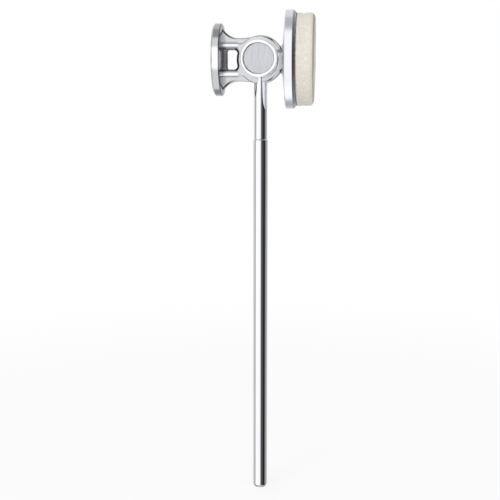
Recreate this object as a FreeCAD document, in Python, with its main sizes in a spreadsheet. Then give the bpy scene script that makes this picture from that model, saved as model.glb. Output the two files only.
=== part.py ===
"""Two-sided bass drum beater with a self-levelling felt pad.

Frame: origin at the centre of the shank's lower end, +Z up along the shank, +X towards the felt
face, Y along the pad's pivot axis. Sketches on the head are drawn about the hub's centre, and each
head piece is lifted to hub_height by its Placement. Millimetres throughout.
"""

import FreeCAD, Part
import math
import os
import Sketcher

DRIVING_SIZES = [
    # shank: a stepped rod with a spigot that seats in the top of the eye
    ("hub_height", 239.5),
    ("shank_radius", 4.0),
    ("shank_end_chamfer", 1.0),
    ("shank_end_taper", 1.5),
    ("neck_radius", 3.6),
    ("neck_length", 42.8),
    ("step_bevel", 0.4),
    ("shoulder_gap", 0.265),
    ("spigot_radius", 2.2),
    ("spigot_cover", 1.0),
    # head casting: eye, arms, fins, window and flange
    ("eye_wall", 3.53),
    ("web_thickness", 7.0),
    ("arm_width", 3.7),
    ("arm_edge_round", 1.7),
    ("fin_thickness", 4.4),
    ("fin_edge_round", 1.4),
    ("fin_window_round", 0.8),
    ("fin_step", 0.15),
    ("fin_overlap", 0.3),
    ("waist_inset", 1.3),
    ("waist_drop", 1.4),
    ("root_drop", 1.959),
    ("web_bite", 1.1),
    ("window_width", 5.0),
    ("window_half_height", 5.05),
    ("window_corner", 1.6),
    ("window_wall", 2.6),
    ("flange_thickness", 4.35),
    ("flange_radius", 19.2),
    ("flange_front_chamfer", 0.9),
    ("flange_back_chamfer", 0.5),
    ("flange_back_rise", 0.5),
    ("flange_flat_radius", 7.3),
    ("flange_rim", 2.7),
    ("striker_thickness", 1.8),
    ("striker_depth", 1.5),
    ("striker_edge_round", 0.4),
    # pivot: bush, core, cups, caps and their hardware
    ("core_radius", 8.6),
    ("core_side_wall", 2.9),
    ("bush_wall", 0.6),
    ("bush_setback", 0.1),
    ("tilt_angle", 5.0),
    ("cup_wall", 1.1),
    ("cup_lip_width", 1.65),
    ("cap_ledge", 0.65),
    ("cup_floor", 1.8),
    ("cup_head_room", 1.98),
    ("cup_edge_round", 0.45),
    ("cap_recess", 0.8),
    ("cap_thickness", 1.6),
    ("cap_edge_chamfer", 0.25),
    ("thrust_washer_thickness", 0.4),
    ("spring_washer_thickness", 0.2),
    ("spring_washer_cone", 0.25),
    ("washer_rim_setback", 0.1),
    ("cup_screw_radius", 1.25),
    ("cup_screw_inset", 3.6),
    ("cup_screw_grip", 2.4),
    ("cup_screw_head_radius", 2.2),
    ("cup_screw_head_height", 1.5),
    ("cup_screw_key_radius", 0.9),
    ("cup_screw_key_depth", 0.8),
    # pad: saddle collar, backing plate, screw, washer, adhesive and felt
    ("saddle_gap", 0.3),
    ("collar_radius", 7.5),
    ("collar_floor", 1.3),
    ("collar_recess", 0.8),
    ("plate_radius", 26.0),
    ("plate_rim_width", 4.2),
    ("plate_bevel_width", 1.4),
    ("plate_bevel_drop", 1.3),
    ("plate_back_chamfer", 0.4),
    ("plate_dome_rise", 1.8),
    ("plate_dome_wall", 0.7),
    ("pad_screw_radius", 2.5),
    ("pad_screw_head_overhang", 1.6),
    ("pad_screw_head_height", 2.0),
    ("pad_screw_key_radius", 1.7),
    ("pad_screw_key_depth", 1.2),
    ("pad_washer_overhang", 0.5),
    ("pad_washer_thickness", 0.6),
    ("counterbore_room", 0.2),
    ("pad_screw_sink", 0.2),
    ("adhesive_setback", 0.4),
    ("adhesive_thickness", 0.3),
    ("felt_setback", 0.2),
    ("felt_thickness", 9.5),
    ("felt_front_round", 2.6),
    ("felt_back_round", 0.4),
    # clearances
    ("running_clearance", 0.05),
    ("seat_clearance", 0.02),
    ("swing_clearance", 0.2),
    ("side_clearance", 0.12),
]

# Sizes that follow from the driving ones, as expressions on the sheet.
HALF_WEB = "size.web_thickness / 2"
HALF_NECK_OR_WEB = "max(size.neck_radius; size.web_thickness / 2)"
BUSH_INNER = "(size.core_radius + size.running_clearance)"
BUSH_OUTER = f"({BUSH_INNER} + size.bush_wall)"
EYE_BORE = f"({BUSH_OUTER} + size.seat_clearance)"
EYE_RADIUS = f"({EYE_BORE} + size.eye_wall)"
SHOULDER_RISE = f"(sqrt({BUSH_INNER} ^ 2 - size.neck_radius ^ 2) - size.shoulder_gap)"
SHANK_HOLE = "(size.neck_radius + size.seat_clearance)"
SPIGOT_HOLE = "(size.spigot_radius + size.seat_clearance)"
SPIGOT_TOP = f"({EYE_RADIUS} - size.spigot_cover)"
WAIST_REACH = f"({EYE_RADIUS} - size.waist_inset)"
WAIST_HEIGHT = f"({EYE_RADIUS} - size.waist_drop)"
WINDOW_REACH = f"({EYE_RADIUS} + size.window_width)"
FLANGE_BACK = f"({WINDOW_REACH} + size.window_wall)"
FLANGE_REACH = f"({FLANGE_BACK} + size.flange_thickness)"
STRIKER_RADIUS = "(size.flange_radius - size.flange_rim)"
ROOT_HEIGHT = "(size.flange_radius - size.root_drop)"
ROOT_ARC = (
    f"((({FLANGE_BACK} - {WAIST_REACH}) ^ 2 + ({ROOT_HEIGHT} - {WAIST_HEIGHT}) ^ 2)"
    f" / (2 * ({ROOT_HEIGHT} - {WAIST_HEIGHT})))"
)
FIN_RADIUS = f"({EYE_RADIUS} - size.fin_step)"
ARM_ROUND = "min(size.arm_edge_round; 0.47 * size.arm_width; 0.47 * size.web_thickness)"
FIN_ROUND = "min(size.fin_edge_round; 0.47 * size.fin_thickness)"
FIN_WINDOW_ROUND = "min(size.fin_window_round; 0.47 * size.fin_thickness)"
BLEND_ARC = (
    f"(({WAIST_REACH} ^ 2 + {WAIST_HEIGHT} ^ 2 - {FIN_RADIUS} ^ 2)"
    f" / (2 * ({FIN_RADIUS} - {WAIST_HEIGHT})))"
)
BLEND_SHARE = f"({FIN_RADIUS} / ({BLEND_ARC} + {FIN_RADIUS}))"
BLEND_X = f"({WAIST_REACH} * {BLEND_SHARE})"
BLEND_HEIGHT = f"(({WAIST_HEIGHT} + {BLEND_ARC}) * {BLEND_SHARE})"
SWING = "tan(size.tilt_angle * 1 deg)"
SCREW_SLOT_WIDTH = "(size.pad_screw_radius + size.swing_clearance)"
SCREW_SLOT_HEIGHT = (
    f"(size.pad_screw_radius + {EYE_RADIUS} * {SWING} + size.swing_clearance)"
)
CORE_HALF_LENGTH = f"({HALF_NECK_OR_WEB} + size.core_side_wall)"
CORE_SLOT_HALF = f"(size.neck_radius + size.core_radius * {SWING} + size.swing_clearance)"
CORE_SLOT_DEPTH = "(size.neck_radius + size.side_clearance)"
WASHER_START = f"({HALF_NECK_OR_WEB} + size.side_clearance)"
WASHER_END = f"({WASHER_START} + size.thrust_washer_thickness)"
SPRING_START = f"({WASHER_END} + size.seat_clearance)"
SPRING_END = f"({SPRING_START} + size.spring_washer_thickness + size.spring_washer_cone)"
SKIRT_START = f"({SPRING_END} + size.seat_clearance)"
CUP_RADIUS = "(size.core_radius + size.cup_wall)"
CUP_LIP_RADIUS = f"({CUP_RADIUS} - size.cup_lip_width)"
CUP_BORE_RADIUS = f"({CUP_LIP_RADIUS} - size.cap_ledge)"
CUP_SCREW_CIRCLE = "(size.core_radius - size.cup_screw_inset)"
WASHER_INNER = "(size.core_radius + size.running_clearance)"
WASHER_OUTER = f"({CUP_RADIUS} - size.washer_rim_setback)"
FLOOR_START = f"({CORE_HALF_LENGTH} + size.seat_clearance)"
FLOOR_END = f"({CORE_HALF_LENGTH} + size.cup_floor)"
SCREW_HEAD_SEAT = f"({FLOOR_END} + size.seat_clearance)"
SCREW_HEAD_TOP = f"({SCREW_HEAD_SEAT} + size.cup_screw_head_height)"
CAP_BACK = f"({SCREW_HEAD_TOP} + size.cup_head_room)"
CAP_FRONT = f"({CAP_BACK} + size.cap_thickness)"
BARREL_HALF_LENGTH = f"({CAP_FRONT} + size.cap_recess)"
SADDLE_RADIUS = f"({EYE_RADIUS} + size.saddle_gap)"
SADDLE_BOSS = f"(size.collar_radius - {EYE_RADIUS} * {SWING} - size.swing_clearance)"
COLLAR_REACH = f"({SADDLE_RADIUS} + size.collar_floor)"
COLLAR_SEAT = f"({COLLAR_REACH} + size.seat_clearance)"
PLATE_RIM_BACK = f"({COLLAR_REACH} - size.collar_recess)"
PLATE_RIM_FRONT = f"({PLATE_RIM_BACK} + size.plate_rim_width)"
PLATE_FRONT = f"({PLATE_RIM_FRONT} + size.plate_bevel_width)"
PLATE_FRONT_RADIUS = "(size.plate_radius - size.plate_bevel_drop)"
PLATE_BACK_RADIUS = "(size.plate_radius - size.plate_back_chamfer)"
PLATE_DOME_RADIUS = "(size.collar_radius + size.plate_dome_wall)"
PAD_SCREW_HEAD_RADIUS = "(size.pad_screw_radius + size.pad_screw_head_overhang)"
PAD_WASHER_RADIUS = f"({PAD_SCREW_HEAD_RADIUS} + size.pad_washer_overhang)"
COUNTERBORE_RADIUS = f"({PAD_WASHER_RADIUS} + size.counterbore_room)"
COUNTERBORE_DEPTH = (
    "(size.pad_washer_thickness + size.pad_screw_head_height + size.pad_screw_sink)"
)
COUNTERBORE_FLOOR = f"({PLATE_FRONT} - {COUNTERBORE_DEPTH})"
PAD_WASHER_BACK = f"({COUNTERBORE_FLOOR} + size.seat_clearance)"
PAD_WASHER_FRONT = f"({PAD_WASHER_BACK} + size.pad_washer_thickness)"
PAD_HEAD_BACK = f"({PAD_WASHER_FRONT} + size.seat_clearance)"
PAD_HEAD_FRONT = f"({PAD_HEAD_BACK} + size.pad_screw_head_height)"
PAD_SCREW_TIP = f"({CORE_SLOT_HALF} + size.swing_clearance)"
ADHESIVE_RADIUS = f"({PLATE_FRONT_RADIUS} - size.adhesive_setback)"
FELT_RADIUS = f"({PLATE_FRONT_RADIUS} - size.felt_setback)"
FELT_BACK = f"({PLATE_FRONT} + size.adhesive_thickness)"
FELT_FRONT = f"({FELT_BACK} + size.felt_thickness)"

OVERRUN = "1.2"  # how far a cutting tool reaches, as a share of the radius that it cuts
KEY_TURN = 15  # degrees by which a tightened key socket ends up turned

doc = FreeCAD.newDocument("drum_beater")
sheet = doc.addObject("Spreadsheet::Sheet", "size")
for row, (alias, size) in enumerate(DRIVING_SIZES, start=1):
    sheet.set(f"A{row}", alias)
    sheet.set(f"B{row}", str(size))
    sheet.setAlias(f"B{row}", alias)
doc.recompute()

nodes = []


def number(expression):
    """The value that an expression on the sheet has now."""
    value = sheet.evalExpression(expression)
    return float(getattr(value, "Value", value))


def at_hub(item):
    """Lifts an object that is drawn about the hub's centre to its place on the shank."""
    item.setExpression("Placement.Base.z", "size.hub_height")
    return item


def new_body(label):
    body = doc.addObject("PartDesign::Body", label)
    return at_hub(body)


def finished(item, label):
    """Names an object as a piece of the beater."""
    item.Label = label
    nodes.append(item)


def new_sketch(body, role, name):
    sketch = body.newObject("Sketcher::SketchObject", name)
    plane = next(f for f in body.Origin.OriginFeatures if f.Role == role)
    sketch.AttachmentSupport = [(plane, "")]
    sketch.MapMode = "FlatFace"
    return sketch


def bind(sketch, kind, references, expression):
    """Adds one dimension to a sketch and ties it to the sheet."""
    index = sketch.addConstraint(Sketcher.Constraint(kind, *references, number(expression)))
    sketch.setExpression(f"Constraints[{index}]", expression)


def pin_down(sketch, curve, end, x, y):
    """Places one end of a curve, measured from the sketch's origin."""
    for kind, axis, place in (("DistanceX", -2, x), ("DistanceY", -1, y)):
        if place == "0":
            sketch.addConstraint(Sketcher.Constraint("PointOnObject", curve, end, axis))
        else:
            bind(sketch, kind, (-1, 1, curve, end), place)


def arc_between(start, stop, radius, wide=False):
    """A circle's arc between two points, turning left for a positive radius and right for a
    negative one; a wide arc is longer than half a turn."""
    chord = stop - start
    lift = math.sqrt(max(radius * radius - chord.Length ** 2 / 4, 0.0))
    left = FreeCAD.Vector(-chord.y, chord.x, 0).normalize()
    turn_side = -1 if (radius < 0) != wide else 1
    centre = (start + stop) * 0.5 + left * lift * turn_side
    first, last = (start, stop) if radius > 0 else (stop, start)
    angles = [math.atan2(p.y - centre.y, p.x - centre.x) for p in (first, last)]
    circle = Part.Circle(centre, FreeCAD.Vector(0, 0, 1), abs(radius))
    return Part.ArcOfCircle(circle, angles[0], angles[1])


def draw(sketch, steps, wide_arcs=()):
    """Draws a closed outline. A step is (x, y) for a straight side to that corner, or
    (x, y, radius) for an arc to it; wide_arcs lists the arcs longer than half a turn."""
    corners = [FreeCAD.Vector(number(s[0]), number(s[1]), 0) for s in steps]
    ends = []
    for i, step in enumerate(steps):
        start, stop = corners[i - 1], corners[i]
        if len(step) == 2:
            curve = sketch.addGeometry(Part.LineSegment(start, stop), False)
            ends.append((curve, 1, 2))
            continue
        radius = number(step[2])
        curve = sketch.addGeometry(arc_between(start, stop, radius, i in wide_arcs), False)
        ends.append((curve, 1, 2) if radius > 0 else (curve, 2, 1))
    for i, (curve, first, last) in enumerate(ends):
        before = ends[i - 1]
        joint = Sketcher.Constraint("Coincident", before[0], before[2], curve, first)
        sketch.addConstraint(joint)
        pin_down(sketch, curve, last, steps[i][0], steps[i][1])
        if len(steps[i]) == 3:
            bind(sketch, "Radius", (curve,), f"abs({steps[i][2]})")
    return sketch


def draw_circle(sketch, x, y, radius):
    centre = FreeCAD.Vector(number(x), number(y), 0)
    circle = Part.Circle(centre, FreeCAD.Vector(0, 0, 1), number(radius))
    curve = sketch.addGeometry(circle, False)
    pin_down(sketch, curve, 3, x, y)
    bind(sketch, "Radius", (curve,), radius)
    return sketch


def hexagon(radius):
    """The six corners of a key socket, as outline steps."""
    turns = [math.radians(60 * k + KEY_TURN) for k in range(6)]
    return [(f"{math.cos(t):.6f} * {radius}", f"{math.sin(t):.6f} * {radius}") for t in turns]


def turn(body, sketch, axis, name="turned"):
    """Revolves a sketch a full turn about its own H_Axis or V_Axis."""
    feature = body.newObject("PartDesign::Revolution", name)
    feature.Profile = sketch
    feature.ReferenceAxis = (sketch, [axis])
    feature.Angle = 360
    return feature


def extrude(body, kind, sketch, length, symmetric=False, reverse=False, name="cut"):
    """A Pad or Pocket of a sketch by a bound length."""
    feature = body.newObject(f"PartDesign::{kind}", name)
    feature.Profile = sketch
    feature.SideType = "Symmetric" if symmetric else "One side"
    feature.Reversed = reverse
    feature.setExpression("Length", length)
    return feature


def round_edges(body, feature, picks, radius, name):
    """Fillets the edges of a feature that a test picks."""
    doc.recompute()
    edges = feature.Shape.Edges
    names = [f"Edge{i}" for i, edge in enumerate(edges, start=1) if picks(edge)]
    fillet = body.newObject("PartDesign::Fillet", name)
    fillet.Base = (feature, names)
    fillet.setExpression("Radius", radius)
    return fillet


def cylinder(name, radius, length, axis, start="0"):
    """A round bar about the hub's X, Y or Z axis, from start to start + length along it."""
    bar = doc.addObject("Part::Cylinder", name)
    bar.setExpression("Radius", radius)
    bar.setExpression("Height", length)
    turned = {
        "X": FreeCAD.Rotation(FreeCAD.Vector(0, 1, 0), 90),
        "Y": FreeCAD.Rotation(FreeCAD.Vector(1, 0, 0), -90),
        "Z": FreeCAD.Rotation(),
    }
    bar.Placement = FreeCAD.Placement(FreeCAD.Vector(), turned[axis])
    place = {"X": "0", "Y": "0", "Z": "0"}
    place[axis] = start
    place["Z"] = f"size.hub_height + {place['Z']}"
    for letter in "XYZ":
        bar.setExpression(f"Placement.Base.{letter.lower()}", place[letter])
    return bar


def block(name, low, spans):
    """A box from its low corner, about the hub's centre."""
    box = doc.addObject("Part::Box", name)
    for size_name, span in zip(("Length", "Width", "Height"), spans):
        box.setExpression(size_name, span)
    for letter, place in zip("xyz", (low[0], low[1], f"size.hub_height + {low[2]}")):
        box.setExpression(f"Placement.Base.{letter}", place)
    return box


def joined(name, *shapes):
    fused = doc.addObject("Part::MultiFuse", name)
    fused.Shapes = list(shapes)
    return fused


def cut(name, base, tool):
    trimmed = doc.addObject("Part::Cut", name)
    trimmed.Base = base
    trimmed.Tool = tool
    return trimmed


def symmetric_bar(name, radius, half_length, axis):
    """A round bar that runs equally both ways from the hub's centre."""
    return cylinder(name, radius, f"2 * {half_length}", axis, f"-1 * {half_length}")


def make_shank():
    """The stepped rod: clamped part, thinner neck, shoulder and spigot."""
    body = new_body("shank")
    sketch = draw(new_sketch(body, "XZ_Plane", "shank_section"), [
        ("0", "-1 * size.hub_height"),
        ("size.shank_radius - size.shank_end_chamfer", "-1 * size.hub_height"),
        ("size.shank_radius", "size.shank_end_taper - size.hub_height"),
        ("size.shank_radius", "-1 * size.neck_length"),
        ("size.neck_radius", "size.step_bevel - size.neck_length"),
        ("size.neck_radius", SHOULDER_RISE),
        ("size.spigot_radius", SHOULDER_RISE),
        ("size.spigot_radius", SPIGOT_TOP),
        ("0", SPIGOT_TOP),
    ])
    turn(body, sketch, "V_Axis")
    finished(body, "shank")


def make_fin():
    """The thin flared middle layer of the casting, from the eye to the flange, with the window."""
    body = new_body("fin")
    sketch = new_sketch(body, "XZ_Plane", "fin_outline")
    deep = f"-1 * ({FLANGE_BACK} + size.web_bite)"
    root = f"-1 * {FLANGE_BACK}"
    waist = f"-1 * {WAIST_REACH}"
    blend = f"-1 * {BLEND_X}"
    draw(sketch, [
        (deep, f"-1 * {ROOT_HEIGHT}"),
        (deep, ROOT_HEIGHT),
        (root, ROOT_HEIGHT),
        (waist, WAIST_HEIGHT, ROOT_ARC),
        (blend, BLEND_HEIGHT, BLEND_ARC),
        (blend, f"-1 * {BLEND_HEIGHT}", f"-1 * {FIN_RADIUS}"),
        (waist, f"-1 * {WAIST_HEIGHT}", BLEND_ARC),
        (root, f"-1 * {ROOT_HEIGHT}", ROOT_ARC),
    ], wide_arcs=(5,))
    top = "(size.window_half_height + size.fin_overlap)"
    inner = f"-1 * ({EYE_BORE} + {EYE_RADIUS}) / 2"
    far_side = f"-1 * {WINDOW_REACH}"
    corner_x = f"size.window_corner - {WINDOW_REACH}"
    corner_z = f"({top} - size.window_corner)"
    draw(sketch, [
        (corner_x, top),
        (far_side, corner_z, "size.window_corner"),
        (far_side, f"-1 * {corner_z}"),
        (corner_x, f"-1 * {top}", "size.window_corner"),
        (inner, f"-1 * {top}"),
        (inner, top),
    ])
    pad = extrude(body, "Pad", sketch, "size.fin_thickness", symmetric=True, name="fin_pad")
    half = number("size.fin_thickness") / 2
    window_end = number(inner) + 0.1
    window_top = number(top) + 0.1

    def in_window(edge):
        box = edge.BoundBox
        return -window_top < box.ZMin and box.ZMax < window_top and box.XMax < window_end

    def outer(edge):
        return on_face(edge, half) and past_flange(edge) and not in_window(edge)

    def at_wall(edge):
        return on_face(edge, half) and past_flange(edge) and in_window(edge)

    rounded = round_edges(body, pad, outer, FIN_ROUND, "fin_outer_round")
    round_edges(body, rounded, at_wall, FIN_WINDOW_ROUND, "fin_window_rounding")
    return body


def make_arms():
    """The thick layer: the eye and the two rounded arms that reach from it to the flange."""
    body = new_body("arms")
    sketch = new_sketch(body, "XZ_Plane", "arms_outline")
    deep = f"-1 * ({FLANGE_BACK} + size.web_bite)"
    low = "size.window_half_height"
    high = "(size.window_half_height + size.arm_width)"
    eye_low = f"-1 * sqrt({EYE_RADIUS} ^ 2 - {low} ^ 2)"
    eye_high = f"-1 * sqrt({EYE_RADIUS} ^ 2 - {high} ^ 2)"
    draw(sketch, [
        (deep, low),
        (deep, high),
        (eye_high, high),
        (eye_high, f"-1 * {high}", f"-1 * {EYE_RADIUS}"),
        (deep, f"-1 * {high}"),
        (deep, f"-1 * {low}"),
        (eye_low, f"-1 * {low}"),
        (eye_low, low, f"-1 * {EYE_RADIUS}"),
    ], wide_arcs=(3,))
    pad = extrude(body, "Pad", sketch, "size.web_thickness", symmetric=True, name="arms_pad")
    half = number(HALF_WEB)
    round_edges(
        body, pad, lambda e: on_face(e, half) and past_flange(e), ARM_ROUND, "arms_round"
    )
    return body


def on_face(edge, half):
    """True for an edge that lies on a layer's front or rear face."""
    return all(abs(abs(v.Point.y) - half) < 1e-4 for v in edge.Vertexes)


def past_flange(edge):
    """True for an edge that shows, because it reaches out of the flange."""
    return edge.BoundBox.XMax > 0.001 - number(FLANGE_BACK)


def make_flange():
    """The round striking flange, its recess for the striker, and its slightly domed back."""
    body = new_body("flange")
    face = f"-1 * {FLANGE_REACH}"
    back = f"-1 * {FLANGE_BACK}"
    flat = f"{back} + size.flange_back_rise"
    sketch = draw(new_sketch(body, "XZ_Plane", "flange_section"), [
        (f"size.striker_depth - {FLANGE_REACH}", "0"),
        (f"size.striker_depth - {FLANGE_REACH}", f"{STRIKER_RADIUS} + size.seat_clearance"),
        (face, f"{STRIKER_RADIUS} + size.seat_clearance"),
        (face, "size.flange_radius - size.flange_front_chamfer"),
        (f"size.flange_front_chamfer - {FLANGE_REACH}", "size.flange_radius"),
        (f"{back} - size.flange_back_chamfer", "size.flange_radius"),
        (back, "size.flange_radius - size.flange_back_chamfer"),
        (flat, "size.flange_flat_radius"),
        (flat, "0"),
    ])
    turn(body, sketch, "H_Axis")
    return body


def make_head_casting():
    """The light alloy casting that carries the hard face, the shank and the pivot's eye."""
    bar = cylinder("saddle_bar", SADDLE_BOSS, EYE_RADIUS, "X")
    round_end = symmetric_bar("saddle_end", EYE_RADIUS, "size.collar_radius", "Y")
    saddle = doc.addObject("Part::MultiCommon", "saddle_solid")
    saddle.Shapes = [bar, round_end]
    room = f"({CUP_RADIUS} + size.saddle_gap)"
    rear_room = cylinder("rear_cup_room", room, "size.collar_radius", "Y", HALF_WEB)
    front_end = f"-1 * (size.collar_radius + {HALF_WEB})"
    front_room = cylinder("front_cup_room", room, "size.collar_radius", "Y", front_end)
    saddle_boss = cut("saddle_boss", saddle, joined("cup_rooms", front_room, rear_room))
    solid = joined("casting_solid", make_arms(), make_fin(), make_flange(), saddle_boss)
    reach = f"{OVERRUN} * {EYE_RADIUS}"
    tools = joined(
        "casting_bores",
        symmetric_bar("eye_bore", EYE_BORE, BARREL_HALF_LENGTH, "Y"),
        cylinder("shank_hole", SHANK_HOLE, reach, "Z", f"-1 * {reach}"),
        cylinder("spigot_hole", SPIGOT_HOLE, f"{SPIGOT_TOP} + size.side_clearance", "Z"),
        screw_slot("casting_slot"),
    )
    casting = cut("head_casting", solid, tools)
    finished(casting, "head_casting")


def screw_slot(name):
    """The slot that lets the pad's screw swing: a flat bar with round ends, along +X."""
    rise = f"({SCREW_SLOT_HEIGHT} - {SCREW_SLOT_WIDTH})"
    reach = f"{OVERRUN} * {EYE_RADIUS}"
    ends = []
    for side, letter in ((1, "top"), (-1, "low")):
        end = cylinder(f"{name}_{letter}", SCREW_SLOT_WIDTH, reach, "X")
        end.setExpression("Placement.Base.z", f"size.hub_height + {side} * {rise}")
        ends.append(end)
    middle = block(
        f"{name}_middle",
        ("0", f"-1 * {SCREW_SLOT_WIDTH}", f"-1 * {rise}"),
        (reach, f"2 * {SCREW_SLOT_WIDTH}", f"2 * {rise}"),
    )
    return joined(name, middle, *ends)


def make_pivot_bush():
    """The plastic bearing sleeve pressed into the eye."""
    half = f"({HALF_WEB} - size.bush_setback)"
    sleeve = cut(
        "bush_sleeve",
        symmetric_bar("bush_outer", BUSH_OUTER, half, "Y"),
        symmetric_bar("bush_inner", BUSH_INNER, half, "Y"),
    )
    tools = joined(
        "bush_holes",
        cylinder("bush_shank_hole", SHANK_HOLE, EYE_RADIUS, "Z", f"-1 * {EYE_RADIUS}"),
        cylinder("bush_spigot_hole", SPIGOT_HOLE, EYE_RADIUS, "Z"),
        screw_slot("bush_slot"),
    )
    finished(cut("pivot_bush", sleeve, tools), "pivot_bush")


def make_striker():
    """The hard plastic face set into the flange."""
    body = new_body("hard_face")
    back = f"size.striker_depth - size.seat_clearance - {FLANGE_REACH}"
    front = f"{back} - size.striker_thickness"
    sketch = draw(new_sketch(body, "XZ_Plane", "hard_face_section"), [
        (back, "0"),
        (back, STRIKER_RADIUS),
        (f"{front} + size.striker_edge_round", STRIKER_RADIUS),
        (front, f"{STRIKER_RADIUS} - size.striker_edge_round", "size.striker_edge_round"),
        (front, "0"),
    ])
    turn(body, sketch, "H_Axis")
    finished(body, "hard_face")


def make_pivot_core():
    """The drum that turns in the bush, slotted for the shank and tapped for the screws."""
    drum = symmetric_bar("core_drum", "size.core_radius", CORE_HALF_LENGTH, "Y")
    slot = block(
        "core_slot",
        (f"-1 * {CORE_SLOT_HALF}", f"-1 * {CORE_SLOT_DEPTH}", f"-1 * {OVERRUN} * size.core_radius"),
        (f"2 * {CORE_SLOT_HALF}", f"2 * {CORE_SLOT_DEPTH}", f"2 * {OVERRUN} * size.core_radius"),
    )
    tapped = cylinder(
        "core_pad_hole", "size.pad_screw_radius + size.seat_clearance", "size.core_radius", "X"
    )
    holes = []
    for side in (1, -1):
        for turn_angle in (90, 210, 330):
            hole = cylinder(
                f"core_hole_{len(holes)}",
                "size.cup_screw_radius + size.seat_clearance",
                "size.cup_screw_grip + size.side_clearance",
                "Y",
            )
            inner = f"{CORE_HALF_LENGTH} - size.cup_screw_grip - size.side_clearance"
            low = inner if side == 1 else f"-1 * {CORE_HALF_LENGTH}"
            place_on_circle(hole, turn_angle, low)
            holes.append(hole)
    finished(cut("pivot_core", drum, joined("core_cuts", slot, tapped, *holes)), "pivot_core")


def place_on_circle(bar, angle, along):
    """Puts a bar that lies along Y on the cup screws' circle."""
    across = math.cos(math.radians(angle))
    up = math.sin(math.radians(angle))
    bar.setExpression("Placement.Base.x", f"{across:.6f} * {CUP_SCREW_CIRCLE}")
    bar.setExpression("Placement.Base.y", along)
    bar.setExpression(
        "Placement.Base.z", f"size.hub_height + {up:.6f} * {CUP_SCREW_CIRCLE}"
    )


def make_cup(end, side):
    """A chromed cup: its skirt sits on the core, and its lip is the polished ring."""
    body = new_body(f"{end}_cup")
    rim = BARREL_HALF_LENGTH
    steps = [
        ("0", FLOOR_START),
        ("size.core_radius + size.seat_clearance", FLOOR_START),
        ("size.core_radius + size.seat_clearance", SKIRT_START),
        (CUP_RADIUS, SKIRT_START),
        (CUP_RADIUS, f"{rim} - size.cup_edge_round"),
        (f"{CUP_RADIUS} - size.cup_edge_round", rim, "size.cup_edge_round"),
        (f"{CUP_LIP_RADIUS} + size.cup_edge_round", rim),
        (CUP_LIP_RADIUS, f"{rim} - size.cup_edge_round", "size.cup_edge_round"),
        (CUP_LIP_RADIUS, f"{CAP_BACK} - size.seat_clearance"),
        (CUP_BORE_RADIUS, f"{CAP_BACK} - size.seat_clearance"),
        (CUP_BORE_RADIUS, FLOOR_END),
        ("0", FLOOR_END),
    ]
    sketch = draw(new_sketch(body, "XY_Plane", f"{end}_cup_section"), flipped(steps, side))
    turn(body, sketch, "V_Axis")
    hole = new_sketch(body, "XZ_Plane", f"{end}_cup_hole")
    draw_circle(hole, "0", CUP_SCREW_CIRCLE, "size.cup_screw_radius + size.running_clearance")
    drill = extrude(
        body, "Pocket", hole, f"2 * {BARREL_HALF_LENGTH}", symmetric=True, name=f"{end}_cup_drill"
    )
    repeat_round(body, [drill], f"{end}_cup_drills")
    finished(body, f"{end}_cup")


def flipped(steps, side):
    """An outline as it is, or mirrored to the other side of the sketch's X axis."""
    if side > 0:
        return steps
    mirrored = []
    for step in steps:
        height = step[1] if step[1] == "0" else f"-1 * ({step[1]})"
        turned = (f"-1 * ({step[2]})",) if len(step) == 3 else ()
        mirrored.append((step[0], height) + turned)
    return mirrored


def repeat_round(body, features, name):
    """Repeats features three times about the pivot axis."""
    pattern = body.newObject("PartDesign::PolarPattern", name)
    pattern.Originals = features
    axis = next(f for f in body.Origin.OriginFeatures if f.Role == "Y_Axis")
    pattern.Axis = (axis, [""])
    pattern.Angle = 360
    pattern.Occurrences = 3
    body.Tip = pattern


def make_cup_screws(end, side):
    """The three screws that hold a cup to the core."""
    body = new_body(f"{end}_cup_screws")
    body.AllowCompound = True
    steps = [
        ("0", f"{CORE_HALF_LENGTH} - size.cup_screw_grip"),
        ("size.cup_screw_radius", f"{CORE_HALF_LENGTH} - size.cup_screw_grip"),
        ("size.cup_screw_radius", SCREW_HEAD_SEAT),
        ("size.cup_screw_head_radius", SCREW_HEAD_SEAT),
        ("size.cup_screw_head_radius", SCREW_HEAD_TOP),
        ("size.cup_screw_key_radius", SCREW_HEAD_TOP),
        ("size.cup_screw_key_radius", f"{SCREW_HEAD_TOP} - size.cup_screw_key_depth"),
        ("0", f"{SCREW_HEAD_TOP} - size.cup_screw_key_depth"),
    ]
    sketch = new_sketch(body, "YZ_Plane", f"{end}_screw_section")
    sketch.setExpression("AttachmentOffset.Base.y", CUP_SCREW_CIRCLE)
    swapped = [(along, across) for across, along in flipped(steps, side)]
    draw(sketch, swapped)
    screw = turn(body, sketch, "H_Axis", f"{end}_screw")
    repeat_round(body, [screw], f"{end}_screws")
    finished(body, f"{end}_cup_screws")


def make_cap(end, side):
    """The satin disc that closes a cup."""
    body = new_body(f"{end}_cap")
    edge = f"{CUP_LIP_RADIUS} - size.seat_clearance"
    steps = [
        ("0", CAP_BACK),
        (edge, CAP_BACK),
        (edge, f"{CAP_FRONT} - size.cap_edge_chamfer"),
        (f"{edge} - size.cap_edge_chamfer", CAP_FRONT),
        ("0", CAP_FRONT),
    ]
    sketch = draw(new_sketch(body, "XY_Plane", f"{end}_cap_section"), flipped(steps, side))
    turn(body, sketch, "V_Axis")
    finished(body, f"{end}_cap")


def make_thrust_washer(end, side):
    """A thin plastic ring between the eye and the cup."""
    body = new_body(f"{end}_thrust_washer")
    steps = [
        (WASHER_INNER, WASHER_START),
        (WASHER_OUTER, WASHER_START),
        (WASHER_OUTER, WASHER_END),
        (WASHER_INNER, WASHER_END),
    ]
    sketch = draw(new_sketch(body, "XY_Plane", f"{end}_washer_section"), flipped(steps, side))
    turn(body, sketch, "V_Axis")
    finished(body, f"{end}_thrust_washer")


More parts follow.
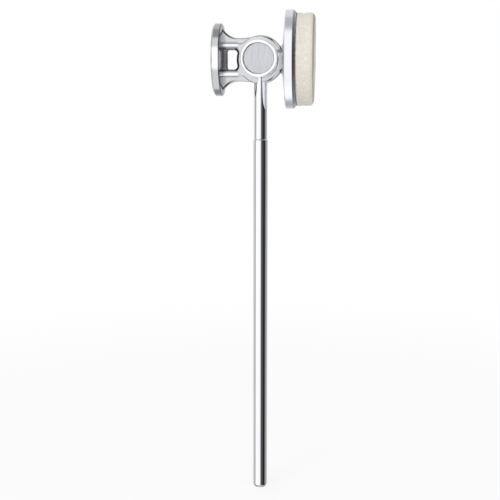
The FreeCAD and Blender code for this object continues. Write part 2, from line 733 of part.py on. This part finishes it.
def make_spring_washer(end, side):
    """The coned steel ring that keeps the pivot stiff enough to hold its angle."""
    body = new_body(f"{end}_spring_washer")
    steps = [
        (WASHER_INNER, f"{SPRING_START} + size.spring_washer_cone"),
        (WASHER_OUTER, SPRING_START),
        (WASHER_OUTER, f"{SPRING_START} + size.spring_washer_thickness"),
        (WASHER_INNER, SPRING_END),
    ]
    sketch = draw(new_sketch(body, "XY_Plane", f"{end}_spring_section"), flipped(steps, side))
    turn(body, sketch, "V_Axis")
    finished(body, f"{end}_spring_washer")


def make_saddle_collar():
    """The spacer that rides round the eye and hides the screw's slot."""
    collar = cylinder("collar_bar", "size.collar_radius", COLLAR_REACH, "X")
    hollow = symmetric_bar("collar_hollow", SADDLE_RADIUS, "2 * size.collar_radius", "Y")
    hole = cylinder(
        "collar_hole", "size.pad_screw_radius + size.running_clearance",
        f"{OVERRUN} * {COLLAR_REACH}", "X",
    )
    finished(cut("saddle_collar", collar, joined("collar_cuts", hollow, hole)), "saddle_collar")


def make_pad_plate():
    """The round backing plate, domed behind and bevelled in front."""
    body = new_body("pad_plate")
    recess = "size.collar_radius + size.running_clearance"
    hole = "size.pad_screw_radius + size.running_clearance"
    dome_back = f"{PLATE_RIM_BACK} - size.plate_dome_rise"
    sketch = draw(new_sketch(body, "XZ_Plane", "plate_section"), [
        (COLLAR_SEAT, hole),
        (COLLAR_SEAT, recess),
        (dome_back, recess),
        (dome_back, PLATE_DOME_RADIUS),
        (PLATE_RIM_BACK, PLATE_BACK_RADIUS),
        (f"{PLATE_RIM_BACK} + size.plate_back_chamfer", "size.plate_radius"),
        (PLATE_RIM_FRONT, "size.plate_radius"),
        (PLATE_FRONT, PLATE_FRONT_RADIUS),
        (PLATE_FRONT, COUNTERBORE_RADIUS),
        (COUNTERBORE_FLOOR, COUNTERBORE_RADIUS),
        (COUNTERBORE_FLOOR, hole),
    ])
    turn(body, sketch, "H_Axis")
    finished(body, "pad_plate")


def make_pad_screw():
    """The low-headed screw that holds plate and collar to the core."""
    body = new_body("pad_screw")
    sketch = draw(new_sketch(body, "XZ_Plane", "pad_screw_section"), [
        (PAD_SCREW_TIP, "0"),
        (PAD_SCREW_TIP, "size.pad_screw_radius"),
        (PAD_HEAD_BACK, "size.pad_screw_radius"),
        (PAD_HEAD_BACK, PAD_SCREW_HEAD_RADIUS),
        (PAD_HEAD_FRONT, PAD_SCREW_HEAD_RADIUS),
        (PAD_HEAD_FRONT, "0"),
    ])
    turn(body, sketch, "H_Axis")
    socket = new_sketch(body, "YZ_Plane", "pad_screw_socket")
    socket.setExpression("AttachmentOffset.Base.z", PAD_HEAD_FRONT)
    draw(socket, hexagon("size.pad_screw_key_radius"))
    extrude(body, "Pocket", socket, "size.pad_screw_key_depth", name="pad_screw_key")
    finished(body, "pad_screw")


def make_ring(label, inner, outer, back, front):
    """A flat round piece about the X axis."""
    body = new_body(label)
    steps = [(back, inner), (back, outer), (front, outer), (front, inner)]
    sketch = draw(new_sketch(body, "XZ_Plane", f"{label}_section"), steps)
    turn(body, sketch, "H_Axis")
    finished(body, label)


def make_felt_pad():
    """The round felt with a softened front edge."""
    body = new_body("felt_pad")
    sketch = draw(new_sketch(body, "XZ_Plane", "felt_section"), [
        (FELT_BACK, "0"),
        (FELT_BACK, f"{FELT_RADIUS} - size.felt_back_round"),
        (f"{FELT_BACK} + size.felt_back_round", FELT_RADIUS, "-1 * size.felt_back_round"),
        (f"{FELT_FRONT} - size.felt_front_round", FELT_RADIUS),
        (FELT_FRONT, f"{FELT_RADIUS} - size.felt_front_round", "-1 * size.felt_front_round"),
        (FELT_FRONT, "0"),
    ])
    turn(body, sketch, "H_Axis")
    finished(body, "felt_pad")


make_shank()
make_head_casting()
make_striker()
make_pivot_bush()
make_pivot_core()
for end, side in (("front", -1), ("rear", 1)):
    make_thrust_washer(end, side)
    make_spring_washer(end, side)
    make_cup(end, side)
    make_cup_screws(end, side)
    make_cap(end, side)
make_saddle_collar()
make_pad_plate()
make_ring(
    "pad_washer", "size.pad_screw_radius + size.running_clearance", PAD_WASHER_RADIUS,
    PAD_WASHER_BACK, PAD_WASHER_FRONT,
)
make_pad_screw()
make_ring("adhesive_disc", "0", ADHESIVE_RADIUS, PLATE_FRONT, FELT_BACK)
make_felt_pad()
doc.recompute()

faults = [o.Label for o in doc.Objects if "Invalid" in o.State or "Error" in o.State]
faults += [n.Label for n in nodes if n.Shape.isNull() or not n.Shape.isValid()]
if faults:
    raise RuntimeError(f"these objects failed: {faults}")

os.makedirs("parts", exist_ok=True)
for node in nodes:
    node.Shape.exportStep(f"parts/{node.Label}.step")
    print(f"{node.Label}: {len(node.Shape.Solids)} solid(s), {node.Shape.Volume:.1f} mm3")
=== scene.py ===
import math

import bmesh
import bpy
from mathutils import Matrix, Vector, noise


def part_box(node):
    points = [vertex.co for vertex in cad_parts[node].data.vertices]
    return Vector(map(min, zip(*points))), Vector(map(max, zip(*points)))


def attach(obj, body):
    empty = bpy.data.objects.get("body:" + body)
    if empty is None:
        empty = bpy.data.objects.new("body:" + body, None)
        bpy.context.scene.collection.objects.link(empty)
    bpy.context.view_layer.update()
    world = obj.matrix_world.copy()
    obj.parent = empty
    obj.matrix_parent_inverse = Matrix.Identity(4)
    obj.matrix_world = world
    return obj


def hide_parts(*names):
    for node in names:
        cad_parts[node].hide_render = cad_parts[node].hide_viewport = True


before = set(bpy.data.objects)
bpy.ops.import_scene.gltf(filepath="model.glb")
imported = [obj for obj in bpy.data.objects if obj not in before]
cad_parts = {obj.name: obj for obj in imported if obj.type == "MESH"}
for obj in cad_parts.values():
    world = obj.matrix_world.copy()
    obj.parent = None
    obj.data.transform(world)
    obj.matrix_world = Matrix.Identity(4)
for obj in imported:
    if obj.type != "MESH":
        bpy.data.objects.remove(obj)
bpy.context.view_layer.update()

# Two-sided bass drum beater. Everything is in metres, in the frame's own axes: +Z up the shank,
# +X towards the felt, Y along the pad's pivot.

MM = 0.001
HUB = Vector((0, 0, 239.5 * MM))


def mm(*lengths):
    """Lengths given in millimetres, as metres."""
    return [length * MM for length in lengths]


def span(node, axis):
    """Where a CAD node starts and ends along an axis."""
    low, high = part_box(node)
    return low[axis], high[axis]


# ---------------------------------------------------------------------------------------------
# Shader writing
# ---------------------------------------------------------------------------------------------


class Wire:
    """One output of a shader node. Sums, differences and products of wires add Math nodes."""

    def __init__(self, shader, made, out):
        self.shader = shader
        self.made = made
        self.out = out

    def socket(self):
        return self.made.outputs[self.out]

    def also(self, out):
        """Another output of the same node."""
        return Wire(self.shader, self.made, out)

    def __add__(self, other):
        return self.shader.maths("ADD", self, other)

    def __mul__(self, other):
        return self.shader.maths("MULTIPLY", self, other)

    def __sub__(self, other):
        return self.shader.maths("SUBTRACT", self, other)

    def __rsub__(self, other):
        return self.shader.maths("SUBTRACT", other, self)

    __radd__ = __add__
    __rmul__ = __mul__


class Shader:
    """Writes the nodes of one material or world."""

    def __init__(self, tree):
        self.tree = tree
        tree.nodes.clear()

    def node(self, kind, settings=None, values=None, out=0):
        """Adds a node: first its settings, then what its sockets hold or are fed."""
        made = self.tree.nodes.new(kind)
        for name, setting in (settings or {}).items():
            if name == "stops":
                stops = made.color_ramp.elements
                stops[0].color, stops[1].color = setting[0][1], setting[-1][1]
                for place, colour in setting[1:-1]:
                    stops.new(place).color = colour
            else:
                setattr(made, name, setting)
        for name, value in (values or {}).items():
            if isinstance(value, Wire):
                self.tree.links.new(value.socket(), made.inputs[name])
            else:
                made.inputs[name].default_value = value
        return Wire(self, made, out)

    def maths(self, operation, first, second=0.0):
        return self.node("ShaderNodeMath", {"operation": operation}, {0: first, 1: second})

    def axes(self, place):
        """The x, y and z of a place, each on its own wire."""
        across = self.node("ShaderNodeSeparateXYZ", None, {0: place}, out="X")
        return across, across.also("Y"), across.also("Z")

    def object_place(self, stretch=(1, 1, 1), turn=(0, 0, 0)):
        """Object coordinates, stretched and turned."""
        place = self.node("ShaderNodeTexCoord", out="Object")
        return self.node(
            "ShaderNodeMapping", None, {"Vector": place, "Scale": stretch, "Rotation": turn}
        )

    def grain(self, place, size, detail=2.0, roughness=0.5):
        """Noise from 0 to 1 whose blotches are about size wide."""
        return self.node(
            "ShaderNodeTexNoise",
            {"normalize": True},
            {"Vector": place, "Scale": 1 / size, "Detail": detail, "Roughness": roughness},
        )

    def between(self, value, low, high, start=0.0, end=1.0):
        """Maps low..high onto start..end, held level outside."""
        return self.node(
            "ShaderNodeMapRange",
            {"clamp": True, "interpolation_type": "SMOOTHSTEP"},
            {"Value": value, 1: low, 2: high, 3: start, 4: end},
        )

    def fading(self, value, low, high):
        """1 below low and 0 above high."""
        return self.between(value, low, high, 1.0, 0.0)

    def band(self, value, rise, fall):
        """1 between a rise and a fall and 0 beyond them, each given as where it runs."""
        return self.between(value, *rise) * self.fading(value, *fall)

    def tint(self, amount, first, second):
        """A colour between two colours."""
        return self.node(
            "ShaderNodeMix",
            {"data_type": "RGBA", "clamp_factor": True},
            {0: amount, 6: first, 7: second},
            out=2,
        )

    def relief(self, height, depth, strength=1.0, normal=None):
        """A normal from a height that runs from 0 to 1, depth metres deep."""
        values = {"Height": height, "Distance": depth, "Strength": strength}
        if normal:
            values["Normal"] = normal
        return self.node("ShaderNodeBump", None, values)

    def finish(self, values):
        """Ends a material in a Principled surface."""
        surface = self.node("ShaderNodeBsdfPrincipled", None, values)
        self.node("ShaderNodeOutputMaterial", None, {"Surface": surface})


def linear(red, green, blue):
    """A colour written as on a paint chart, 0 to 255, as light."""
    light = []
    for part in (red, green, blue):
        share = part / 255
        light.append(share / 12.92 if share <= 0.04045 else ((share + 0.055) / 1.055) ** 2.4)
    return (*light, 1.0)


def new_material(name):
    material = bpy.data.materials.new(name)
    material.use_nodes = True
    return material, Shader(material.node_tree)


# ---------------------------------------------------------------------------------------------
# Finishes
# ---------------------------------------------------------------------------------------------


def polished_shank():
    """Bright chrome on a drawn rod: long faint drawing lines, soft hazes and a bare cut end."""
    material, shader = new_material("polished_shank")
    lines = shader.grain(shader.object_place((1, 1, 0.02)), 0.5 * MM, 3.0)
    haze = shader.grain(shader.object_place((1, 1, 0.25)), 6 * MM, 2.0)
    _, _, up = shader.axes(shader.object_place())
    bare = shader.fading(up, *mm(1.3, 1.7))
    chrome = shader.tint(haze, linear(226, 227, 230), linear(236, 236, 238))
    shader.finish({
        "Base Color": shader.tint(bare, chrome, linear(176, 174, 171)),
        "Metallic": 1.0,
        "Roughness": shader.between(haze * 0.6 + lines * 0.4, 0.3, 0.7, 0.05, 0.09) + bare * 0.2,
        "Normal": shader.relief(lines, 0.001 * MM, 0.3),
    })
    return material


def polished_casting():
    """Plated die casting, duller on the fins: painted highlights, partly buffing, on its arms and
    rim; painted shade on the arms' inner sides, in the corners, in the recess and along the
    flange's edge.
    """
    material, shader = new_material("polished_casting")
    place = shader.object_place()
    skin = shader.grain(place, 2.6 * MM, 2.0)
    grit = shader.grain(place, 0.3 * MM, 2.0)
    tone = shader.grain(place, 7 * MM, 2.0)
    along, across, above = shader.axes(place)
    depth = shader.maths("ABSOLUTE", across)
    height = shader.maths("ABSOLUTE", above - HUB.z)

    # How much each spot belongs to a part of the casting. Slopes run between two places in mm.
    behind_rim = mm(-20.6, -20.2)
    rim_side = shader.fading(along, *behind_rim)
    arms = shader.band(along, behind_rim, mm(-12.6, -11.4))
    pad_side = shader.between(along, *mm(9, 11))
    fins = shader.fading(depth, *mm(2.3, 3.1))
    # Painted shade along the corner where the fins meet the arms.
    corner = shader.band(height, mm(8.6, 8.8), mm(9.0, 9.7)) * arms * fins
    # Painted shade in the recess between the arms by the flange.
    recess = shader.band(along, mm(-21.5, -20.4), mm(-17.9, -17.4))
    recess = recess * shader.fading(height, *mm(4.6, 5.6)) * shader.fading(depth, *mm(6, 8))
    # Painted shade: a dark line along the flange's back edge.
    flange_edge = shader.band(along, mm(-21.0, -20.8), mm(-20.35, -20.2))

    duller = linear(190, 191, 194)
    plated = shader.tint(tone, duller, linear(212, 213, 216))
    plated = shader.tint(pad_side, plated, linear(172, 173, 176))
    # Painted highlight on the arms' crests and painted shade on their inner sides, partly buffing,
    # partly light and shade.
    crest_highlight_and_shade = shader.tint(
        shader.between(height, *mm(6.0, 7.7)), linear(128, 130, 134), linear(246, 246, 248)
    )
    # Painted highlight on the flange rim's middle, partly buffing, fading to the duller tone at its
    # top and bottom.
    rim = shader.tint(shader.between(height, *mm(4, 7)), linear(244, 244, 246), duller)
    toned = shader.tint(rim_side, shader.tint(arms - arms * fins, plated, crest_highlight_and_shade), rim)
    # Painted shade darkens the recess and the corner lines.
    recess_and_corner_shade = shader.tint(recess * 0.85 + corner * 0.7, toned, linear(132, 134, 138))
    # Painted shade darkens the flange's back edge to a dark line.
    with_edge_shade = shader.tint(flange_edge * 0.75, recess_and_corner_shade, linear(74, 77, 84))
    shader.finish({
        "Base Color": with_edge_shade,
        "Metallic": 1.0,
        "Roughness": shader.between(skin * 0.5 + grit * 0.5, 0.3, 0.7, 0.11, 0.18) + recess * 0.2,
        "Normal": shader.relief(
            grit, 0.002 * MM, 0.4, shader.relief(skin, 0.03 * MM, 0.5)
        ),
    })
    return material


def plate_satin():
    """Turned and blasted backing plate: rings, a fine even frosting and painted shade on the bevel.
    """
    material, shader = new_material("plate_satin")
    place = shader.object_place()
    frost = shader.grain(place, 0.3 * MM, 2.0)
    tone = shader.grain(place, 5 * MM, 3.0)
    rings = shader.grain(shader.object_place((1, 0.04, 0.04)), 0.35 * MM, 2.0)
    along, _, _ = shader.axes(place)
    # Painted shade on the bevel, darkening it.
    bevel_shade = shader.band(along, mm(17.7, 17.9), mm(19.0, 19.15))
    bright = shader.tint(tone, linear(236, 237, 243), linear(246, 246, 250))
    shader.finish({
        "Base Color": shader.tint(bevel_shade * 0.8, bright, linear(120, 122, 130)),
        "Metallic": 1.0,
        "Roughness": shader.between(frost * 0.6 + tone * 0.4, 0.3, 0.7, 0.2, 0.3),
        "Normal": shader.relief(
            frost, 0.004 * MM, 0.5, shader.relief(rings, 0.004 * MM, 0.4)
        ),
    })
    return material


def polished_cup():
    """Mirror chrome on the turned cups, with the faintest turning rings."""
    material, shader = new_material("polished_cup")
    rings = shader.grain(shader.object_place((0.05, 1, 0.05)), 0.2 * MM, 2.0)
    smear = shader.grain(shader.object_place(), 3 * MM, 2.0)
    shader.finish({
        "Base Color": shader.tint(smear, linear(236, 236, 238), linear(244, 244, 245)),
        "Metallic": 1.0,
        "Roughness": shader.between(smear, 0.3, 0.7, 0.06, 0.11),
        "Normal": shader.relief(rings, 0.0015 * MM, 0.4),
    })
    return material


def brushed_cap():
    """Satin disc brushed in one direction, up and down."""
    material, shader = new_material("brushed_cap")
    fine = shader.grain(shader.object_place((1, 1, 0.03)), 0.12 * MM, 3.0)
    broad = shader.grain(shader.object_place((1, 1, 0.08)), 0.9 * MM, 2.0)
    streak = fine * 0.5 + broad * 0.5
    shader.finish({
        "Base Color": shader.tint(
            shader.between(streak, 0.3, 0.7), linear(200, 201, 206), linear(228, 229, 234)
        ),
        "Metallic": 1.0,
        "Roughness": shader.between(streak, 0.3, 0.7, 0.34, 0.46),
        "Normal": shader.relief(fine, 0.006 * MM, 0.6),
    })
    return material


def turned_steel():
    """Machined steel with the tool's rings still on it."""
    material, shader = new_material("turned_steel")
    rings = shader.grain(shader.object_place((1, 0.03, 0.03)), 0.15 * MM, 2.0)
    tone = shader.grain(shader.object_place(), 3 * MM, 2.0)
    shader.finish({
        "Base Color": shader.tint(tone, linear(176, 176, 178), linear(200, 200, 202)),
        "Metallic": 1.0,
        "Roughness": shader.between(tone, 0.3, 0.7, 0.24, 0.36),
        "Normal": shader.relief(rings, 0.006 * MM, 0.6),
    })
    return material


def zinc_plate(name, dark, light):
    """Bright zinc on small fasteners, a little cloudy."""
    material, shader = new_material(name)
    cloud = shader.grain(shader.object_place(), 0.8 * MM, 3.0)
    shader.finish({
        "Base Color": shader.tint(cloud, dark, light),
        "Metallic": 1.0,
        "Roughness": shader.between(cloud, 0.3, 0.7, 0.22, 0.38),
        "Normal": shader.relief(cloud, 0.01 * MM, 0.3),
    })
    return material


def moulded_plastic(name, dark, light, texture_depth):
    """Moulded plastic with a fine sparked texture and small scuffs."""
    material, shader = new_material(name)
    place = shader.object_place()
    spark = shader.grain(place, 0.35 * MM, 2.0)
    scuff = shader.between(shader.grain(shader.object_place((1, 0.3, 1)), 1.6 * MM, 4.0), 0.6, 0.75)
    shader.finish({
        "Base Color": shader.tint(scuff * 0.5 + spark * 0.3, dark, light),
        "Roughness": shader.between(spark - scuff * 0.3, 0.0, 0.8, 0.38, 0.58),
        "Normal": shader.relief(spark, texture_depth, 0.6),
    })
    return material


def dried_glue():
    """The line of brown contact glue between plate and felt."""
    material, shader = new_material("dried_glue")
    blob = shader.grain(shader.object_place(), 1.1 * MM, 3.0)
    shader.finish({
        "Base Color": shader.tint(
            shader.between(blob, 0.35, 0.65), linear(74, 58, 44), linear(148, 124, 98)
        ),
        "Roughness": shader.between(blob, 0.3, 0.7, 0.35, 0.6),
        "Normal": shader.relief(blob, 0.08 * MM, 0.7),
    })
    return material


def pressed_wool():
    """Cream pressed felt: matted fibres, pale tufts, a few dark hairs and painted shade on the
    front edge.
    """
    material, shader = new_material("pressed_wool")
    place = shader.object_place()
    matted = shader.grain(place, 1.3 * MM, 5.0, 0.62)
    fibre_across = shader.grain(shader.object_place((1.0, 0.2, 0.2)), 0.28 * MM, 3.0)
    fibre_up = shader.grain(
        shader.object_place((0.25, 1.0, 0.3), (0.5, 0.2, 0.9)), 0.26 * MM, 3.0
    )
    cloud = shader.grain(place, 6 * MM, 3.0)
    weave = matted * 0.5 + fibre_across * 0.25 + fibre_up * 0.25
    pale = shader.tint(
        shader.between(weave, 0.36, 0.64), linear(206, 200, 189), linear(228, 223, 214)
    )
    warm = shader.tint(shader.between(cloud, 0.35, 0.7), pale, linear(220, 213, 201))
    speck = shader.between(fibre_up * 0.5 + matted * 0.5, 0.3, 0.37, 0.55, 0.0)
    along, aside, above = shader.axes(place)
    above = above - HUB.z
    from_middle = shader.maths("SQRT", aside * aside + above * above)
    # Painted shade on the felt's rounded front edge.
    front_edge_shade = shader.between(from_middle, *mm(20.5, 22.6))
    front_edge_shade = front_edge_shade * shader.between(along, *mm(27.9, 28.5))
    wool = shader.tint(speck, warm, linear(172, 163, 149))
    shader.finish({
        "Base Color": shader.tint(front_edge_shade * 0.75, wool, linear(140, 134, 125)),
        "Roughness": 0.95,
        "Sheen Weight": 0.25,
        "Sheen Roughness": 0.5,
        "Sheen Tint": linear(250, 246, 238),
        "Normal": shader.relief(
            fibre_across * 0.5 + fibre_up * 0.5, 0.12 * MM, 0.7,
            shader.relief(matted, 0.3 * MM, 0.6),
        ),
    })
    return material


def finish_the_frame():
    """Gives every CAD node its finish."""
    steel = zinc_plate("bright_zinc", linear(168, 170, 174), linear(206, 208, 212))
    spring = zinc_plate("blued_spring", linear(96, 98, 106), linear(140, 142, 150))
    cup, cap = polished_cup(), brushed_cap()
    bearing = moulded_plastic(
        "pale_bearing", linear(196, 192, 180), linear(224, 221, 212), 0.01 * MM
    )
    hard = moulded_plastic("black_hard_face", linear(20, 20, 22), linear(62, 62, 64), 0.03 * MM)
    turned = turned_steel()
    finishes = {
        "shank": polished_shank(),
        "head_casting": polished_casting(),
        "hard_face": hard,
        "pivot_bush": bearing,
        "pivot_core": turned,
        "saddle_collar": turned,
        "pad_plate": plate_satin(),
        "pad_washer": steel,
        "pad_screw": steel,
        "adhesive_disc": dried_glue(),
    }
    for end in ("front", "rear"):
        finishes[f"{end}_thrust_washer"] = bearing
        finishes[f"{end}_spring_washer"] = spring
        finishes[f"{end}_cup"] = cup
        finishes[f"{end}_cap"] = cap
        finishes[f"{end}_cup_screws"] = steel
    for node, material in finishes.items():
        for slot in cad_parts[node].material_slots:
            slot.material = material


# ---------------------------------------------------------------------------------------------
# Felt
# ---------------------------------------------------------------------------------------------


ROUND_STEPS = 128  # how many slices the felt's section makes on its way round
DENT_AT = 0.36  # where the dent lies, as a share of the thickness from the plate
DENT_DEEP = 0.5  # mm
DENT_LONG, DENT_WIDE = mm(0.8, 7)  # along X and along Y
LEAN = 0.28  # mm, how far the front face leans forward at the top and back at the bottom


def make_felt():
    """The felt disc: softened edges, a lumpy hand-cut rim and a small dent in its top edge."""
    back, front = span("felt_pad", 0)
    low, high = span("felt_pad", 2)
    radius = (high - low) / 2
    thick = front - back
    # (share of the thickness, distance inside the rim in mm) from the back's middle to the front's
    section = [
        (0, 24.5), (0, 12.0), (0, 4.0), (0, 0.9), (0.012, 0.35), (0.05, 0.06), (0.16, 0.0),
        (0.32, 0.12), (0.5, 0.16), (0.66, 0.08), (0.78, 0.1), (0.88, 0.5), (0.95, 1.25),
        (0.99, 2.3), (1, 4.0), (1, 9.0), (1, 16.0), (1, 24.5),
    ]
    mesh = bmesh.new()
    path = [
        mesh.verts.new((back + thick * share, 0, radius - inset * MM)) for share, inset in section
    ]
    edges = [mesh.edges.new(pair) for pair in zip(path, path[1:])]
    bmesh.ops.spin(
        mesh, geom=path + edges, axis=(1, 0, 0), cent=(0, 0, 0), angle=math.tau,
        steps=ROUND_STEPS, use_merge=True,
    )
    bmesh.ops.remove_doubles(mesh, verts=mesh.verts, dist=0.001 * MM)
    bmesh.ops.subdivide_edges(mesh, edges=mesh.edges, cuts=2, use_grid_fill=True)
    bmesh.ops.recalc_face_normals(mesh, faces=mesh.faces)
    mesh.normal_update()
    # All the moves, in mm, are worked out before any is made. The back stays flat on the glue.
    moves = []
    for vert in mesh.verts:
        spot = vert.co
        forward = (spot.x - back) / thick
        lumps = noise.noise(spot / (7 * MM)) * 0.16 + noise.noise(spot / (1.6 * MM)) * 0.1
        fuzz = noise.noise(spot / (0.7 * MM)) * 0.05
        held = min(1.0, forward * 8)
        dent = math.exp(-((spot.x - back - DENT_AT * thick) / DENT_LONG) ** 2)
        dent *= math.exp(-(spot.y / DENT_WIDE) ** 2) * (1 if spot.z > 0 else 0) * DENT_DEEP
        lean = forward * spot.z / radius * LEAN
        move = vert.normal * (lumps + fuzz) * held * MM
        move -= Vector((0, 0, dent * MM))
        move += Vector((lean * MM, 0, 0))
        moves.append(move)
    for vert, move in zip(mesh.verts, moves):
        vert.co += move
        vert.co.z += HUB.z
    bmesh.ops.triangulate(mesh, faces=mesh.faces)
    data = bpy.data.meshes.new("felt")
    mesh.to_mesh(data)
    mesh.free()
    data.shade_smooth()
    felt = bpy.data.objects.new("felt", data)
    bpy.context.collection.objects.link(felt)
    data.materials.append(pressed_wool())
    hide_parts("felt_pad")
    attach(felt, "pad")


# ---------------------------------------------------------------------------------------------
# Studio
# ---------------------------------------------------------------------------------------------

CHROME_SHARE = 0.8  # how much light the chrome sends back, so that the panels are written as seen
CAMERA_PLACE = mm(40, -500, 208.6)
CAMERA_TURN = 4.6  # degrees from straight in front of the beater to the camera
LOOKS_DOWN, LOOKS_LEFT = 8.2, 5.23  # degrees
LENS, SENSOR = 65.98, 36  # mm

# Panels round the beater: degrees to the right of the camera and the grey that chrome shows.
PANELS = [
    (-180, 208), (-125, 212), (-104, 208), (-99, 125), (-88, 125), (-80, 238), (-74, 252),
    (-8, 252), (2, 205), (8, 178), (13, 90), (30, 73), (48, 58), (58, 26), (73, 24), (80, 110),
    (94, 140), (116, 170), (145, 204), (180, 208),
]


def build_world():
    """Grey panels that the metal mirrors, an even light on the rest and white for the camera."""
    world = bpy.data.worlds.new("studio")
    bpy.context.scene.world = world
    world.use_nodes = True
    shader = Shader(world.node_tree)
    ray = shader.node("ShaderNodeTexCoord", out="Generated")
    across, away, up = shader.axes(ray)
    angle = shader.maths("ARCTAN2", across, 0 - away)
    share = shader.maths("FRACT", angle * (1 / math.tau) + (0.5 - CAMERA_TURN / 360))
    stops = [((turn + 180) / 360, linear(grey, grey, grey)) for turn, grey in PANELS]
    ring = shader.node("ShaderNodeValToRGB", {"stops": stops}, {"Fac": share})
    ceiling = shader.tint(shader.between(up, 0.9, 0.97), ring, linear(166, 166, 170))
    ground = shader.tint(shader.between(up, -0.85, -0.95), ceiling, linear(248, 248, 250))
    behind = shader.between(away, 0.25, 0.42) * shader.between(up, -0.4, -0.65)
    panels = shader.tint(behind, ground, linear(162, 162, 166))
    lit = shader.node(
        "ShaderNodeBackground", None, {"Color": panels, "Strength": 1 / CHROME_SHARE}
    )
    soft = shader.node(
        "ShaderNodeBackground", None,
        {"Color": (1, 1, 1, 1), "Strength": shader.between(across, 0.0, 0.85, 0.92, 0.36)},
    )
    white = shader.node(
        "ShaderNodeBackground", None, {"Color": (1, 1, 1, 1), "Strength": 1.0}
    )
    seen = shader.node("ShaderNodeLightPath", out="Is Camera Ray")
    glossy = seen.also("Is Glossy Ray")
    body = shader.node("ShaderNodeMixShader", None, {0: glossy, 1: soft, 2: lit})
    whole = shader.node("ShaderNodeMixShader", None, {0: seen, 1: body, 2: white})
    shader.node("ShaderNodeOutputWorld", None, {"Surface": whole})


def floor_finish():
    """Pale floor with a faint shadow that fades to white. Reflections pass through it."""
    material, shader = new_material("pale_floor")
    place = shader.node("ShaderNodeTexCoord", out="Object")
    away = shader.node("ShaderNodeVectorMath", {"operation": "LENGTH"}, {0: place}, out="Value")
    fade = shader.between(away, 0.12, 0.6, 0.8, 1.0)
    seen = shader.node("ShaderNodeLightPath", out="Is Camera Ray")
    glossy = seen.also("Is Glossy Ray")
    matt = shader.node("ShaderNodeBsdfDiffuse", None, {"Color": (0.86, 0.86, 0.86, 1)})
    glow = shader.node("ShaderNodeEmission", None, {"Color": (1, 1, 1, 1), "Strength": 1.0})
    clear = shader.node("ShaderNodeBsdfTransparent")
    shown = shader.node("ShaderNodeMixShader", None, {0: seen * fade, 1: matt, 2: glow})
    whole = shader.node("ShaderNodeMixShader", None, {0: glossy, 1: shown, 2: clear})
    shader.node("ShaderNodeOutputMaterial", None, {"Surface": whole})
    return material


FLOOR_RADIUS = 3.0


def build_floor():
    mesh = bmesh.new()
    bmesh.ops.create_circle(mesh, cap_ends=True, segments=96, radius=FLOOR_RADIUS)
    data = bpy.data.meshes.new("floor")
    mesh.to_mesh(data)
    mesh.free()
    floor = bpy.data.objects.new("floor", data)
    bpy.context.collection.objects.link(floor)
    data.materials.append(floor_finish())


def add_lamp(name, place, size, power):
    """A soft square lamp that faces the head. Its light falls on the beater but isn't mirrored."""
    data = bpy.data.lights.new(name, "AREA")
    data.shape = "SQUARE"
    data.size = size
    data.energy = power
    lamp = bpy.data.objects.new(name, data)
    lamp.location = place
    lamp.rotation_euler = (HUB - Vector(place)).to_track_quat("-Z", "Y").to_euler()
    lamp.visible_glossy = False
    lamp.visible_camera = False
    bpy.context.collection.objects.link(lamp)


def place_camera():
    data = bpy.data.cameras.new("camera")
    data.sensor_width = SENSOR
    data.lens = LENS
    data.clip_start = 10 * MM
    camera = bpy.data.objects.new("camera", data)
    camera.location = CAMERA_PLACE
    camera.rotation_euler = (math.radians(90 - LOOKS_DOWN), 0, math.radians(LOOKS_LEFT))
    bpy.context.collection.objects.link(camera)
    bpy.context.scene.camera = camera


finish_the_frame()
make_felt()
build_world()
build_floor()
add_lamp("key", (-0.5, -0.85, 0.5), size=0.5, power=3.8)
add_lamp("fill", (0.8, -0.35, 0.45), size=0.6, power=1.5)
place_camera()

bpy.context.scene.view_settings.view_transform = "Standard"
